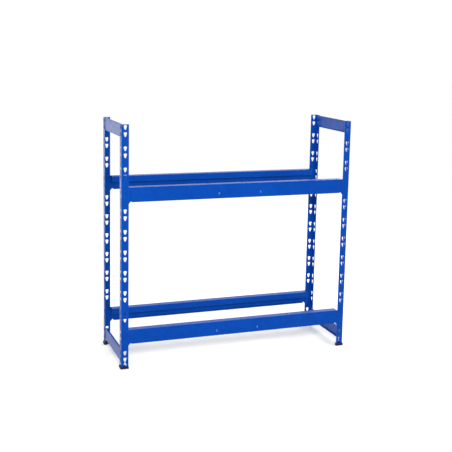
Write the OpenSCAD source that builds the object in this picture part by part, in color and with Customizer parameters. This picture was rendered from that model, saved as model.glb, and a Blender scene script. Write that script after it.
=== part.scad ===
// Two-tier boltless tyre rack: four punched angle posts, four load beams that the
// tyres sit between, four side ties, and a plastic foot under each post.
// Every beam and tie hooks into the posts with headed rivets in teardrop keyholes.
// Millimetres. Origin on the floor under the middle of the rack, +X along the
// beams, +Y to the back, +Z up.

/* [Overall] */
// Width over the outer faces of the posts
rack_w = 1372; // [900:1:2000]
// Depth over the outer faces of the posts
rack_d = 457; // [320:1:640]

/* [Posts] */
// Width of each flange of the angle post
post_flange = 41; // [38:1:46]
// Sheet thickness of the posts
post_t = 1.8; // [1.5:0.1:2.5]
// Outside radius of the bend between the two flanges
post_bend_r = 3.3; // [2.8:0.1:5]
// Distance from the post's corner to the line of keyholes
keyhole_inset = 21; // [20:0.5:23]
// Distance from the post's top down to the first keyhole
keyhole_top_gap = 4.7; // [4:0.1:8]

/* [Keyholes] */
// Distance from one pair of keyholes to the next pair
pair_pitch = 114.3; // [105:0.1:125]
// Distance between the two keyholes of a pair
keyhole_pitch = 38.1; // [34:0.1:42]
// Number of pairs on each flange
pair_count = 12; // [12:1:13]
// Width of a keyhole's open end
keyhole_w = 17; // [16.4:0.1:18]
// Height of a keyhole
keyhole_h = 24.5; // [24:0.1:27]
// Radius of a keyhole's narrow end
keyhole_foot_r = 4.4; // [4:0.1:5]
// Gap between the last pair and the single upturned keyhole under it
upturned_gap = 2.2; // [2:0.1:4]

/* [Beams] */
// Height of a beam's face
beam_h = 82; // [76:1:90]
// Depth of the top flange that a tyre rests on
beam_flange = 45; // [30:1:60]
// Height of the stiffening lip that hangs from the inner edge of the top flange
beam_lip = 34; // [20:1:50]
// Depth of the small return along the bottom edge
beam_return = 11; // [6:1:20]
// Sheet thickness of the beams
beam_t = 1.5; // [1.2:0.1:2]
// Pair of keyholes, counted from the top, that holds the upper beams
upper_pair = 3; // [2:1:6]
// Pair of keyholes, counted from the top, that holds the lower beams
lower_pair = 10; // [8:1:10]
// Distance of the two small dimples from the middle of a beam
dimple_offset = 125; // [60:5:400]

/* [Ties] */
// Height of a side tie
tie_h = 70; // [66:1:78]
// Depth of the flanges along a tie's top and bottom edges
tie_flange = 12; // [6:1:18]
// Sheet thickness of the ties
tie_t = 1.5; // [1.2:0.1:2]

/* [Rivets] */
// Diameter of a rivet's shank
rivet_d = 11; // [10:0.5:12]
// Diameter of a rivet's head
rivet_head_d = 15.6; // [14:0.1:15.8]
// Thickness of a rivet's low domed head
rivet_head_h = 2.4; // [1.6:0.1:3]

/* [Feet] */
// Thickness of a foot's sole under the post
foot_sole = 4; // [3:0.5:8]
// Height of a foot
foot_h = 12; // [10:0.5:13]
// How far a foot stands out beyond the post's outer faces
foot_proud = 4; // [3:0.5:8]

/* [Hidden] */
$fn = 48;

// Posts stand on the soles of the feet, and the upturned keyholes start this far
// above the feet
upturned_rise = 1.5;
upturned_z = foot_h + upturned_rise;
first_z = upturned_z + 2 * keyhole_h + upturned_gap + keyhole_pitch
          + (pair_count - 1) * pair_pitch;
post_top = first_z + keyhole_top_gap;
post_len = post_top - foot_sole;

// Keyhole outline: a flat top with rounded corners, then straight sides that run
// down as tangents to the narrow end
keyhole_corner_r = 4;
keyhole_shoulder = 8;
keyhole_foot_z = keyhole_h - keyhole_foot_r;
side_len = norm([keyhole_w / 2, keyhole_foot_z - keyhole_shoulder]);
side_tilt = atan2(keyhole_foot_z - keyhole_shoulder, keyhole_w / 2)
            - acos(keyhole_foot_r / side_len);

// A loaded rivet sits where the tapered sides leave it this much air all round
rivet_air = 0.3;
side_slope = cos(side_tilt);
seat_drop = keyhole_shoulder
            + (keyhole_w / 2 * side_slope - rivet_d / 2 - rivet_air) / -sin(side_tilt);
// Beams and ties stand off the inside of the posts by the same air
stand_off = post_t + rivet_air;

// Rivets: clearance of the shank in its sheet, straight rim of the head, and the
// tail that is headed over behind the sheet
shank_fit = 0.05;
rivet_rim = 1;
tail_d = rivet_d + 4;
tail_h = 1.6;

// Bend radius of beams and ties
sheet_r = 2.5;

// Height of a beam's and a tie's top edge above the keyholes that hold it
beam_rise = 5;
tie_rise = 3;

// Ends of beams and ties: a deep tab behind each post, a shallow notch in the
// beam's bottom edge before the tab, and flanges that stop short of the post
end_gap = 5;
tab_drop = 13;
tab_slant = 4;
notch_reach = 18;
notch_rise = 5;
notch_inner = 13;
notch_outer = 12;
flange_gap = 2;
return_gap = 1;

// Dimples pressed out of a beam's face: a capsule with its axis behind the face
dimple_r = 7.5;
dimple_len = 6;
dimple_sunk = 5.6;
dimple_drop = 53;

// Feet: air round the post, walls, and the outline that ends past the flanges
foot_air = 0.15;
foot_wall = 3;
foot_reach = post_flange + 1;
foot_slant = 12;
foot_corner_r = 4;
foot_relief_r = 1.2;

// How far a cutting shape runs past the faces that it cuts
past = 1;

blue = [0.03, 0.24, 0.68];
black = [0.06, 0.06, 0.07];

function pair_z(k) = first_z - k * pair_pitch;

// ---- outlines -------------------------------------------------------------

// Quarter of a ring of sheet: outside radius r, in the corner at the origin
module bend(r, t) {
  translate([r, r])
    intersection() {
      difference() {
        circle(r);
        circle(r - t);
      }
      translate([-r, -r])
        square(r);
    }
}

module angle_section() {
  bend(post_bend_r, post_t);
  translate([post_bend_r, 0])
    square([post_flange - post_bend_r, post_t]);
  translate([0, post_bend_r])
    square([post_t, post_flange - post_bend_r]);
}

// Top edge on the X axis, narrow end down
module keyhole_outline() {
  half = keyhole_w / 2;
  side_x = keyhole_foot_r * cos(side_tilt);
  side_z = -keyhole_foot_z + keyhole_foot_r * sin(side_tilt);
  polygon([
    [-half + keyhole_corner_r, 0], [half - keyhole_corner_r, 0],
    [half, -keyhole_corner_r], [half, -keyhole_shoulder], [side_x, side_z],
    [-side_x, side_z], [-half, -keyhole_shoulder], [-half, -keyhole_corner_r]
  ]);
  for (side = [-1, 1])
    translate([side * (half - keyhole_corner_r), -keyhole_corner_r])
      circle(keyhole_corner_r);
  translate([0, -keyhole_foot_z])
    circle(keyhole_foot_r);
}

// All keyholes of one flange, as an outline from the floor up
module keyhole_column() {
  for (k = [0 : pair_count - 1], i = [0, 1])
    translate([0, pair_z(k) - i * keyhole_pitch])
      keyhole_outline();
  translate([0, upturned_z])
    mirror([0, 1])
      keyhole_outline();
}

// Section of a beam's top: flange along X and lip, outer corner at the origin
module beam_top_section() {
  mirror([0, 1])
    bend(sheet_r, beam_t);
  translate([sheet_r, -beam_t])
    square([beam_flange - 2 * sheet_r, beam_t]);
  translate([beam_flange, 0])
    mirror([1, 0])
      mirror([0, 1])
        bend(sheet_r, beam_t);
  translate([beam_flange - beam_t, -beam_lip])
    square([beam_t, beam_lip - sheet_r]);
}

// Section of the return along a beam's bottom edge
module beam_return_section() {
  translate([0, -beam_h])
    bend(sheet_r, beam_t);
  translate([sheet_r, -beam_h])
    square([beam_return - sheet_r, beam_t]);
}

// A tie's section, web along Y and both flanges along X, top outer corner at the origin
module tie_section() {
  translate([0, -tie_h + sheet_r])
    square([tie_t, tie_h - 2 * sheet_r]);
  mirror([0, 1])
    bend(sheet_r, tie_t);
  translate([0, -tie_h])
    bend(sheet_r, tie_t);
  for (z = [-tie_t, -tie_h])
    translate([sheet_r, z])
      square([tie_flange - sheet_r, tie_t]);
}

// ---- single parts, built for the front left corner or the front -----------

// Corner at the origin, flanges along +X and +Y
module post() {
  color(blue)
    difference() {
      translate([0, 0, foot_sole])
        linear_extrude(post_len)
          angle_section();
      translate([keyhole_inset, post_t + past, 0])
        rotate([90, 0, 0])
          linear_extrude(post_t + 2 * past)
            keyhole_column();
      translate([-past, keyhole_inset, 0])
        rotate([90, 0, 90])
          linear_extrude(post_t + 2 * past)
            keyhole_column();
    }
}

// Face outline of a beam's flat sheet: a plain bar with a deeper tab behind each
// post and a notch in the bottom edge just before the tab
module beam_face() {
  end_x = rack_w / 2 - end_gap;
  edge_x = rack_w / 2 - post_flange;
  half = [
    [end_x, 0], [end_x, -beam_h - tab_drop], [edge_x + tab_slant, -beam_h - tab_drop],
    [edge_x - notch_outer, -beam_h + notch_rise], [edge_x - notch_inner, -beam_h + notch_rise],
    [edge_x - notch_reach, -beam_h]
  ];
  polygon(concat(half, [for (i = [len(half) - 1 : -1 : 0]) [-half[i][0], half[i][1]]]));
}

// Where the rivets of a beam or tie pass through its sheet, in the sheet's plane
module rivet_places(overall, rise) {
  for (side = [-1, 1], i = [0, 1])
    translate([side * (overall / 2 - keyhole_inset), -rise - seat_drop - i * keyhole_pitch])
      children();
}

// Web facing -Y, top edge at z = 0
module beam() {
  top_x = rack_w / 2 - post_flange - flange_gap;
  return_x = rack_w / 2 - post_flange - notch_reach - return_gap;
  color(blue)
    difference() {
      union() {
        translate([0, beam_t, 0])
          rotate([90, 0, 0])
            linear_extrude(beam_t)
              difference() {
                beam_face();
                square([2 * top_x, 2 * sheet_r], center = true);
                translate([0, -beam_h])
                  square([2 * return_x, 2 * sheet_r], center = true);
              }
        translate([-top_x, 0, 0])
          rotate([90, 0, 90])
            linear_extrude(2 * top_x)
              beam_top_section();
        translate([-return_x, 0, 0])
          rotate([90, 0, 90])
            linear_extrude(2 * return_x)
              beam_return_section();
        intersection() {
          dimples(dimple_r);
          translate([-rack_w / 2, -dimple_r, -beam_h])
            cube([rack_w, dimple_r + beam_t, beam_h]);
        }
      }
      dimples(dimple_r - beam_t);
      translate([0, beam_t + past, 0])
        rotate([90, 0, 0])
          linear_extrude(beam_t + 2 * past)
            rivet_places(rack_w, beam_rise)
              circle(d = rivet_d + 2 * shank_fit);
    }
}

// The two capsules of this radius that shape a beam's dimples
module dimples(r) {
  for (side = [-1, 1])
    translate([side * dimple_offset, dimple_sunk, -dimple_drop])
      rotate_extrude()
        intersection() {
          union() {
            square([2 * r, dimple_len], center = true);
            for (end = [-1, 1])
              translate([0, end * dimple_len / 2])
                circle(r);
          }
          translate([0, -dimple_len / 2 - r])
            square([r, dimple_len + 2 * r]);
        }
}

// Web facing -Y like a beam's, top edge at z = 0
module tie() {
  end_x = rack_d / 2 - end_gap;
  body_x = rack_d / 2 - post_flange - end_gap;
  color(blue)
    difference() {
      union() {
        translate([0, tie_t, 0])
          rotate([90, 0, 0])
            linear_extrude(tie_t)
              difference() {
                translate([-end_x, -tie_h])
                  square([2 * end_x, tie_h]);
                square([2 * body_x, 2 * sheet_r], center = true);
                translate([0, -tie_h])
                  square([2 * body_x, 2 * sheet_r], center = true);
              }
        translate([-body_x, 0, 0])
          rotate([90, 0, 90])
            linear_extrude(2 * body_x)
              tie_section();
      }
      translate([0, tie_t + past, 0])
        rotate([90, 0, 0])
          linear_extrude(tie_t + 2 * past)
            rivet_places(rack_d, tie_rise)
              circle(d = rivet_d + 2 * shank_fit);
    }
}

// Head towards +Z with its underside at z = 0, tail behind the sheet
module rivet(sheet_t) {
  dome_h = rivet_head_h - rivet_rim;
  dome_r = (pow(rivet_head_d / 2, 2) + pow(dome_h, 2)) / (2 * dome_h);
  shank_h = stand_off + rivet_air + sheet_t;
  color(blue) {
    rotate_extrude()
      intersection() {
        translate([0, rivet_head_h - dome_r])
          circle(dome_r, $fn = 360);
        square([rivet_head_d / 2, rivet_head_h]);
      }
    translate([0, 0, -shank_h])
      cylinder(d = rivet_d, h = shank_h);
    translate([0, 0, -shank_h - tail_h])
      cylinder(d = tail_d, h = tail_h);
  }
}

// Rivets of a beam or tie whose sheet has its outer face on y = 0
module rivet_set(overall, rise, sheet_t) {
  translate([0, -stand_off - rivet_air, 0])
    rotate([90, 0, 0])
      rivet_places(overall, rise)
        rivet(sheet_t);
}

// Corner of the post at the origin. Sole, a wall outside the post and an inner
// block that keeps the two flanges square
module foot() {
  inner = post_t + foot_air;
  leg = post_flange + 2 * foot_air;
  color(black)
    difference() {
      linear_extrude(foot_h)
        foot_outline();
      translate([0, 0, foot_sole])
        linear_extrude(foot_h) {
          // the post's two flanges
          translate([-foot_air, -foot_air])
            square([leg, inner + foot_air]);
          translate([-foot_air, -foot_air])
            square([inner + foot_air, leg]);
          translate([inner, inner])
            circle(foot_relief_r);
          // hollow behind the inner walls
          polygon([
            [inner + foot_wall, inner + foot_wall], [foot_reach - foot_wall, inner + foot_wall],
            [inner + foot_wall, foot_reach - foot_wall]
          ]);
        }
    }
}

// Square outer corner, slanted inner side
module foot_outline() {
  turn = foot_corner_r - foot_proud;
  polygon([
    [turn, -foot_proud], [foot_reach, -foot_proud], [foot_reach, foot_slant],
    [foot_slant, foot_reach], [-foot_proud, foot_reach], [-foot_proud, turn]
  ]);
  translate([turn, turn])
    circle(foot_corner_r);
}

// ---- placing ---------------------------------------------------------------

// side -1 is left, end -1 is front
module at_corner(side, end) {
  mirror([side > 0 ? 1 : 0, 0, 0])
    mirror([0, end > 0 ? 1 : 0, 0])
      translate([-rack_w / 2, -rack_d / 2, 0])
        children();
}

// Front (-1) or rear (1) beam plane, hooked on pair k
module at_beam(end, k) {
  mirror([0, end > 0 ? 1 : 0, 0])
    translate([0, -rack_d / 2 + stand_off, pair_z(k) + beam_rise])
      children();
}

// Left (-1) or right (1) tie plane, hooked on pair k
module at_tie(side, k) {
  mirror([side > 0 ? 1 : 0, 0, 0])
    translate([-rack_w / 2 + stand_off, 0, pair_z(k) + tie_rise])
      rotate([0, 0, -90])
        children();
}

module post_front_left() { at_corner(-1, -1) post(); }
module post_front_right() { at_corner(1, -1) post(); }
module post_rear_left() { at_corner(-1, 1) post(); }
module post_rear_right() { at_corner(1, 1) post(); }

module foot_front_left() { at_corner(-1, -1) foot(); }
module foot_front_right() { at_corner(1, -1) foot(); }
module foot_rear_left() { at_corner(-1, 1) foot(); }
module foot_rear_right() { at_corner(1, 1) foot(); }

module beam_upper_front() { at_beam(-1, upper_pair) beam(); }
module beam_upper_rear() { at_beam(1, upper_pair) beam(); }
module beam_lower_front() { at_beam(-1, lower_pair) beam(); }
module beam_lower_rear() { at_beam(1, lower_pair) beam(); }

module tie_top_left() { at_tie(-1, 0) tie(); }
module tie_top_right() { at_tie(1, 0) tie(); }
module tie_bottom_left() { at_tie(-1, pair_count - 1) tie(); }
module tie_bottom_right() { at_tie(1, pair_count - 1) tie(); }

module beam_rivets() { rivet_set(rack_w, beam_rise, beam_t); }
module tie_rivets() { rivet_set(rack_d, tie_rise, tie_t); }

module rivets_beam_upper_front() { at_beam(-1, upper_pair) beam_rivets(); }
module rivets_beam_upper_rear() { at_beam(1, upper_pair) beam_rivets(); }
module rivets_beam_lower_front() { at_beam(-1, lower_pair) beam_rivets(); }
module rivets_beam_lower_rear() { at_beam(1, lower_pair) beam_rivets(); }
module rivets_tie_top_left() { at_tie(-1, 0) tie_rivets(); }
module rivets_tie_top_right() { at_tie(1, 0) tie_rivets(); }
module rivets_tie_bottom_left() { at_tie(-1, pair_count - 1) tie_rivets(); }
module rivets_tie_bottom_right() { at_tie(1, pair_count - 1) tie_rivets(); }

post_front_left();
post_front_right();
post_rear_left();
post_rear_right();
foot_front_left();
foot_front_right();
foot_rear_left();
foot_rear_right();
beam_upper_front();
beam_upper_rear();
beam_lower_front();
beam_lower_rear();
tie_top_left();
tie_top_right();
tie_bottom_left();
tie_bottom_right();
rivets_beam_upper_front();
rivets_beam_upper_rear();
rivets_beam_lower_front();
rivets_beam_lower_rear();
rivets_tie_top_left();
rivets_tie_top_right();
rivets_tie_bottom_left();
rivets_tie_bottom_right();
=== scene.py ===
"""Looks of the two-tier tyre rack: paint, plastic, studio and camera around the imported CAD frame."""

from math import pi, radians

import bpy
from mathutils import Matrix, Vector


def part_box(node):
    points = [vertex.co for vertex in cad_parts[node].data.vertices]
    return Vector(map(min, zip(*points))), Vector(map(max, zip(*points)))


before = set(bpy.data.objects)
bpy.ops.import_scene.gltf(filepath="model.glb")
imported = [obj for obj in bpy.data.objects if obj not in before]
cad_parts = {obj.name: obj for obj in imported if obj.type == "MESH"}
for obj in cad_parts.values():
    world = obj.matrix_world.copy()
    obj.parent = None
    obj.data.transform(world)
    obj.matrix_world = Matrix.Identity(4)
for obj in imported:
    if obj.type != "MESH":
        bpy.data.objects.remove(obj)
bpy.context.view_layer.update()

MM = 0.001

# Camera: where the eye is (metres), where it looks (degrees), its lens and the shift of its view
EYE = (-1.776, -4.802, 1.812)
YAW_RIGHT = 20.26
PITCH_DOWN = 8.95
ROLL = 1.14
LENS_MM = 70.13
SHIFT_Y = -0.1018

# Studio: strength of the white surroundings, and of their part below, which starts and is full at
# these heights of the direction looked in (-1 is straight down)
WORLD_LIGHT = 1.08
GROUND_LIGHT = 0.35
GROUND_START = -0.50
GROUND_FULL = -0.90

# Floor, and the place that all the lights are turned to (metres)
FLOOR_RADIUS = 40.0
LIGHTS_AIM = (0.0, 0.0, 0.7)

# Rounding of the cut edges
SHEET_EDGE = 0.25 * MM
PLASTIC_EDGE = 0.7 * MM

# Paint: the coat's two blues, a painted highlight on the edges (where the coat is also thin) and on the
# dimples, the primer in a chip, the rubber that tyres leave, and the strength and tint of the coat's
# shine
BLUE = (0.0008, 0.048, 0.330)
BLUE_DEEP = (0.0005, 0.034, 0.250)
BLUE_THIN_EDGE_HIGHLIGHT = (0.030, 0.125, 0.470)
BLUE_DIMPLE_HIGHLIGHT = (0.050, 0.156, 0.480)
PRIMER = (0.10, 0.13, 0.20)
RUBBER_GREY = (0.006, 0.018, 0.060)
COAT_SHINE = 0.35
COAT_TINT = (0.10, 0.45, 1.0, 1.0)

# Plastic of the feet: the two tones of its flow, its worn edges and its shine
PLASTIC_DARK = (0.002, 0.002, 0.0025)
PLASTIC_PALE = (0.005, 0.005, 0.006)
PLASTIC_WORN = (0.030, 0.030, 0.032)
PLASTIC_SHINE = 0.25

# A beam's dimples stand this far out of its face
DIMPLE_PROUD = 1.9 * MM


# ---- small helpers -----------------------------------------------------------


def feed(tree, socket, value):
    """Links an output to the socket, or sets the socket to a value."""
    if isinstance(value, bpy.types.NodeSocket):
        tree.links.new(value, socket)
    else:
        socket.default_value = value


def add(tree, kind, settings=None, **inputs):
    """A node of this kind. An input is named after its socket, with _ for a space, or i0, i1 by its
    place. Its value is a number, a colour or the output that feeds it."""
    node = tree.nodes.new(kind)
    for name, value in (settings or {}).items():
        setattr(node, name, value)
    for name, value in inputs.items():
        by_place = name[0] == "i" and name[1:].isdigit()
        feed(tree, node.inputs[int(name[1:]) if by_place else name.replace("_", " ")], value)
    return node


def noise(tree, place, scale, detail=2.0, roughness=0.5):
    """Noise from 0 to 1, with this many cells to the metre."""
    made = add(tree, "ShaderNodeTexNoise", Vector=place, Scale=scale, Detail=detail,
               Roughness=roughness)
    return made.outputs["Fac"]


def ramp(tree, value, low, high, to_low=0.0, to_high=1.0):
    """The value's stretch from low to high, spread over to_low to to_high and held at both ends."""
    made = add(tree, "ShaderNodeMapRange", {"interpolation_type": "SMOOTHSTEP"}, Value=value,
               From_Min=low, From_Max=high, To_Min=to_low, To_Max=to_high)
    return made.outputs["Result"]


def maths(tree, operation, a, b=0.0):
    """One sum on two values, or on the first alone where it takes one."""
    return add(tree, "ShaderNodeMath", {"operation": operation}, i0=a, i1=b).outputs[0]


def mix(tree, share, a, b):
    """Colour a, with this share of colour b. Both are three numbers or the output that feeds them."""
    a, b = ((*colour, 1.0) if isinstance(colour, tuple) else colour for colour in (a, b))
    return add(tree, "ShaderNodeMix", {"data_type": "RGBA"}, i0=share, i6=a, i7=b).outputs[2]


def new_material(name):
    """An empty material: itself, its tree, its shader and the place on the object, in metres."""
    mat = bpy.data.materials.new(name)
    mat.use_nodes = True
    tree = mat.node_tree
    tree.nodes.clear()
    shader = add(tree, "ShaderNodeBsdfPrincipled")
    out = add(tree, "ShaderNodeOutputMaterial")
    tree.links.new(shader.outputs[0], out.inputs["Surface"])
    place = add(tree, "ShaderNodeTexCoord").outputs["Object"]
    return mat, tree, shader, place


def edges(tree, reach):
    """1 along edges and corners within reach of a face's border, 0 on open faces."""
    rounded = add(tree, "ShaderNodeBevel", {"samples": 6}, Radius=reach).outputs[0]
    flat = add(tree, "ShaderNodeNewGeometry").outputs["Normal"]
    same = add(tree, "ShaderNodeVectorMath", {"operation": "DOT_PRODUCT"}, i0=rounded, i1=flat)
    return ramp(tree, same.outputs["Value"], 0.995, 0.90)


# ---- materials ----------------------------------------------------------------


def coat_film(tree, place):
    """The coat's colour: an uneven mottled film, with a patchy painted highlight along the edges where
    the coat is also thin, and chipped there in spots.
    """
    film = ramp(tree, noise(tree, place, 7.0, 3.0, 0.55), 0.32, 0.68, 0.0, 0.35)
    mottle = ramp(tree, noise(tree, place, 55.0, 2.0, 0.5), 0.30, 0.70, 0.0, 0.40)
    speck = ramp(tree, noise(tree, place, 850.0, 1.0), 0.3, 0.7, 0.0, 0.25)
    depth = maths(tree, "ADD", maths(tree, "ADD", film, mottle), speck)
    edge = edges(tree, 1.4 * MM)
    patchy = ramp(tree, noise(tree, place, 160.0, 3.0), 0.35, 0.65, 0.45, 1.0)
    colour = mix(tree, depth, BLUE_DEEP, BLUE)
    # painted highlight along the edges, patchy, over a coat that is also thin there
    colour = mix(tree, maths(tree, "MULTIPLY", edge, patchy), colour, BLUE_THIN_EDGE_HIGHLIGHT)
    chips = ramp(tree, noise(tree, place, 420.0, 3.0, 0.6), 0.62, 0.66)
    return mix(tree, maths(tree, "MULTIPLY", edge, chips), colour, PRIMER)


def orange_peel(tree, place):
    """Bump of the coat: a long swell under the fine peel of sprayed and baked powder."""
    peel = noise(tree, place, 520.0, 2.0, 0.45)
    swell = noise(tree, place, 130.0, 1.0)
    height = maths(tree, "ADD", maths(tree, "MULTIPLY", peel, 0.45), swell)
    return add(tree, "ShaderNodeBump", Height=height, Strength=0.6, Distance=0.20 * MM).outputs[0]


def powder_coat(name, wear_and_highlight=None):
    """Blue powder coat. The function given after the name, if any, takes the tree, place, colour and
    roughness and gives the last two back with its marks of wear and painted highlight.
    """
    mat, tree, shader, place = new_material(name)
    colour = coat_film(tree, place)
    roughness = ramp(tree, noise(tree, place, 38.0, 4.0, 0.6), 0.3, 0.7, 0.30, 0.40)
    if wear_and_highlight:
        colour, roughness = wear_and_highlight(tree, place, colour, roughness)
    tree.links.new(colour, shader.inputs["Base Color"])
    tree.links.new(roughness, shader.inputs["Roughness"])
    shader.inputs["Specular IOR Level"].default_value = COAT_SHINE
    shader.inputs["Specular Tint"].default_value = COAT_TINT
    tree.links.new(orange_peel(tree, place), shader.inputs["Normal"])
    return mat


def beam_wear_and_dimple_highlight(tree, place, colour, roughness):
    """A painted highlight on the dimples, and dull rubber marks where tyres are rolled on."""
    # what stands out of the beam's face, up to the crest of a dimple
    axes = add(tree, "ShaderNodeSeparateXYZ", Vector=place).outputs
    outward = maths(tree, "ABSOLUTE", axes["Y"])
    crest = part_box("beam_upper_rear")[1][1]
    dimple_highlight = ramp(tree, outward, crest - DIMPLE_PROUD, crest - 0.2 * DIMPLE_PROUD)
    # painted highlight: each dimple is paler blue from near the face out to its crest, as if it caught
    # the light
    colour = mix(tree, dimple_highlight, colour, BLUE_DIMPLE_HIGHLIGHT)

    # streaks along Y, the way a tyre is rolled on, on what faces up
    normal = add(tree, "ShaderNodeNewGeometry").outputs["Normal"]
    facing_up = ramp(tree, add(tree, "ShaderNodeSeparateXYZ", Vector=normal).outputs["Z"], 0.6, 0.9)
    across = add(tree, "ShaderNodeVectorMath", {"operation": "MULTIPLY"}, i0=place,
                 i1=(1.0, 0.12, 1.0)).outputs["Vector"]
    streaks = ramp(tree, noise(tree, across, 70.0, 4.0, 0.65), 0.48, 0.72)
    patches = ramp(tree, noise(tree, place, 5.0, 2.0), 0.40, 0.62)
    marks = maths(tree, "MULTIPLY", maths(tree, "MULTIPLY", streaks, patches), facing_up)
    colour = mix(tree, maths(tree, "MULTIPLY", marks, 0.55), colour, RUBBER_GREY)
    return colour, maths(tree, "ADD", roughness, maths(tree, "MULTIPLY", marks, 0.18))


def black_plastic():
    """Moulded feet: matt black with a fine spark-eroded grain."""
    mat, tree, shader, place = new_material("black_plastic_moulded")
    flow = noise(tree, place, 60.0, 3.0)
    colour = mix(tree, ramp(tree, flow, 0.3, 0.7), PLASTIC_DARK, PLASTIC_PALE)
    worn = maths(tree, "MULTIPLY", edges(tree, 0.8 * MM), 0.4)
    tree.links.new(mix(tree, worn, colour, PLASTIC_WORN), shader.inputs["Base Color"])
    tree.links.new(ramp(tree, flow, 0.3, 0.7, 0.50, 0.62), shader.inputs["Roughness"])
    shader.inputs["Specular IOR Level"].default_value = PLASTIC_SHINE
    grain = noise(tree, place, 1500.0, 2.0)
    bump = add(tree, "ShaderNodeBump", Height=grain, Strength=0.4, Distance=0.08 * MM)
    tree.links.new(bump.outputs[0], shader.inputs["Normal"])
    return mat


def floor_paint():
    """White paper, a little uneven."""
    mat, tree, shader, place = new_material("studio_floor")
    cloud = noise(tree, place, 0.8, 2.0)
    paper = mix(tree, cloud, (0.92, 0.92, 0.92), (0.94, 0.94, 0.94))
    tree.links.new(paper, shader.inputs["Base Color"])
    shader.inputs["Roughness"].default_value = 0.8
    shader.inputs["Specular IOR Level"].default_value = 0.1
    return mat


# ---- the frame's own parts -----------------------------------------------------


def smooth_shading():
    """Geometry nodes that shade every face smooth."""
    tree = bpy.data.node_groups.new("smooth_shading", "GeometryNodeTree")
    tree.interface.new_socket("Geometry", in_out="INPUT", socket_type="NodeSocketGeometry")
    tree.interface.new_socket("Geometry", in_out="OUTPUT", socket_type="NodeSocketGeometry")
    start = tree.nodes.new("NodeGroupInput")
    smooth = tree.nodes.new("GeometryNodeSetShadeSmooth")
    end = tree.nodes.new("NodeGroupOutput")
    tree.links.new(start.outputs[0], smooth.inputs["Geometry"])
    tree.links.new(smooth.outputs[0], end.inputs[0])
    return tree


def round_edges(obj, width, smooth):
    """Joins the face corners again, merges flat neighbours and rounds the sharp edges."""
    weld = obj.modifiers.new("weld", "WELD")
    weld.merge_threshold = 0.001 * MM
    obj.modifiers.new("smooth", "NODES").node_group = smooth
    flat = obj.modifiers.new("flat", "DECIMATE")
    flat.decimate_type = "DISSOLVE"
    flat.angle_limit = radians(0.5)
    bevel = obj.modifiers.new("edge", "BEVEL")
    bevel.width = width
    bevel.segments = 2
    bevel.limit_method = "ANGLE"
    bevel.angle_limit = radians(35)
    even = obj.modifiers.new("even", "WEIGHTED_NORMAL")
    even.mode = "FACE_AREA"
    even.weight = 100


def dress():
    """Gives each piece the finish of its kind and its rounded edges."""
    coat = powder_coat("blue_powder_coat_steel")
    finishes = {
        "post": coat,
        "tie": coat,
        "beam": powder_coat("blue_powder_coat_beam", beam_wear_and_dimple_highlight),
        "rivets": powder_coat("blue_powder_coat_rivet"),
        "foot": black_plastic(),
    }
    smooth = smooth_shading()
    for name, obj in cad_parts.items():
        kind = name.split("_")[0]
        obj.material_slots[0].material = finishes[kind]
        round_edges(obj, PLASTIC_EDGE if kind == "foot" else SHEET_EDGE, smooth)


# ---- studio ---------------------------------------------------------------------


def build_floor():
    """A wide white floor that takes shadows and throws no light back on the rack."""
    bpy.ops.mesh.primitive_circle_add(vertices=96, radius=FLOOR_RADIUS, fill_type="NGON")
    floor = bpy.context.object
    floor.name = "studio_floor"
    floor.data.materials.append(floor_paint())
    floor.visible_diffuse = False
    floor.visible_glossy = False


def build_world():
    """White all round and dimmer from below, so that undersides and lower edges read as such."""
    world = bpy.data.worlds.new("studio")
    bpy.context.scene.world = world
    world.use_nodes = True
    tree = world.node_tree
    look = add(tree, "ShaderNodeTexCoord").outputs["Generated"]
    rise = add(tree, "ShaderNodeSeparateXYZ", Vector=look).outputs["Z"]
    light = ramp(tree, rise, GROUND_FULL, GROUND_START, GROUND_LIGHT, WORLD_LIGHT)
    tree.nodes["Background"].inputs["Color"].default_value = (1.0, 1.0, 1.0, 1.0)
    tree.links.new(light, tree.nodes["Background"].inputs["Strength"])


def soft_box(name, place, size, power):
    """A rectangular light at this place, turned to the middle of the rack, with its power in watts."""
    data = bpy.data.lights.new(name, "AREA")
    data.shape = "RECTANGLE"
    data.size, data.size_y = size
    data.energy = power
    obj = bpy.data.objects.new(name, data)
    bpy.context.scene.collection.objects.link(obj)
    obj.location = place
    away = obj.location - Vector(LIGHTS_AIM)
    obj.rotation_euler = away.to_track_quat("Z", "Y").to_euler()
    obj.visible_camera = False


def build_light():
    """A key light in front, a low one that the left ties reflect, and one over the back right corner."""
    soft_box("key", (-0.75, -4.0, 2.4), (0.8, 0.8), 120.0)
    soft_box("sheen", (-1.9, 2.5, 0.6), (2.6, 1.2), 8.0)
    soft_box("back", (2.8, 3.0, 3.4), (1.2, 1.2), 60.0)


def build_camera():
    """The camera in front of the left corner, looking right and down."""
    data = bpy.data.cameras.new("camera")
    data.sensor_width = 36.0
    data.lens = LENS_MM
    data.shift_y = SHIFT_Y
    cam = bpy.data.objects.new("camera", data)
    bpy.context.scene.collection.objects.link(cam)
    turn = Matrix.Rotation(-radians(YAW_RIGHT), 4, "Z")
    tilt = Matrix.Rotation(pi / 2 - radians(PITCH_DOWN), 4, "X")
    cam.matrix_world = Matrix.Translation(EYE) @ turn @ tilt @ Matrix.Rotation(radians(ROLL), 4, "Z")
    bpy.context.scene.camera = cam


build_camera()
build_world()
build_light()
build_floor()
dress()
bpy.context.scene.view_settings.view_transform = "Standard"
